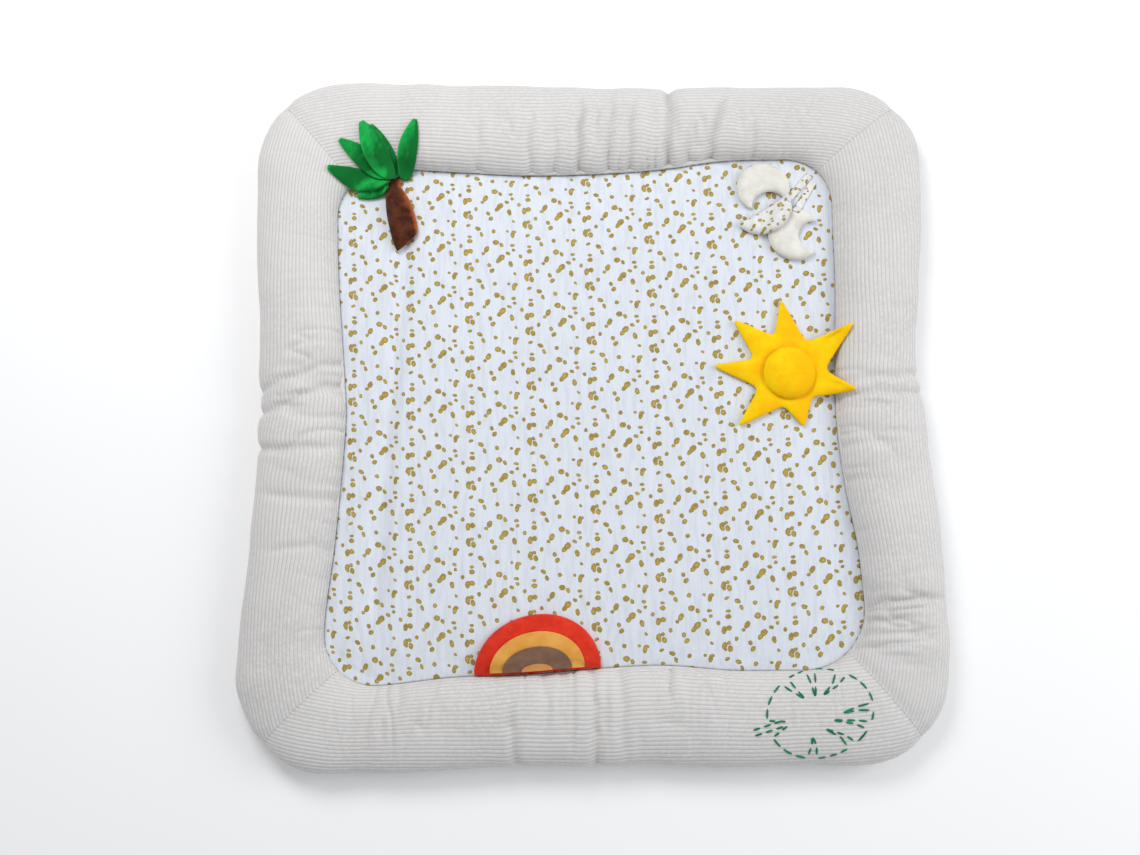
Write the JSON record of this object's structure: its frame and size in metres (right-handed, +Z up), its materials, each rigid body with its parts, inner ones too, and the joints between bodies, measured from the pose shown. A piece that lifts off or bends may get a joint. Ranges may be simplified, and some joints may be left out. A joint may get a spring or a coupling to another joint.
{
  "type": "baby play mat",
  "caption": "Square padded baby play mat with a puffy corduroy border, printed muslin panel and soft sun, moon, palm and rainbow toys sewn on.",
  "frame": {"origin": "on the floor, under the middle of the mat", "axes": "+Z up from the floor, +X to the mat's right and +Y to its back, as the picture shows it from the front"},
  "size_m": [1.0102, 1.0247, 0.0737],
  "materials": {
    "corduroy": "wide-wale cotton corduroy, off-white, soft and matt",
    "muslin": "double-gauze cotton muslin, white with a small mustard print, fine crinkles",
    "sun_plush": "short-pile plush, sunny yellow",
    "red_felt": "dense felt, red",
    "yellow_felt": "dense felt, warm yellow",
    "taupe_felt": "dense felt, taupe",
    "orange_felt": "dense felt, light orange",
    "green_velvet": "short velvet, leaf green, with light and dark pile",
    "brown_plush": "short-pile plush, brown with rust lights",
    "cream_plush": "short-pile plush, cream"
  },
  "bodies": {
    "root": {"center_pad": "muslin", "border_front": "corduroy", "border_right": "corduroy", "border_back": "corduroy", "border_left": "corduroy", "sun_rays": "sun_plush", "sun_disc": "sun_plush", "rainbow_red": "red_felt", "rainbow_yellow": "yellow_felt", "rainbow_taupe": "taupe_felt", "rainbow_orange": "orange_felt", "palm_trunk": "brown_plush", "moon_upper": "cream_plush", "moon_lower": "cream_plush", "moon_print": "muslin", "moon_strap_1": "muslin", "moon_strap_2": "muslin", "palm_leaf_1": "green_velvet", "palm_leaf_2": "green_velvet", "palm_leaf_3": "green_velvet", "palm_leaf_4": "green_velvet", "palm_leaf_5": "green_velvet", "palm_leaf_6": "green_velvet"}
  },
  "joints": []
}
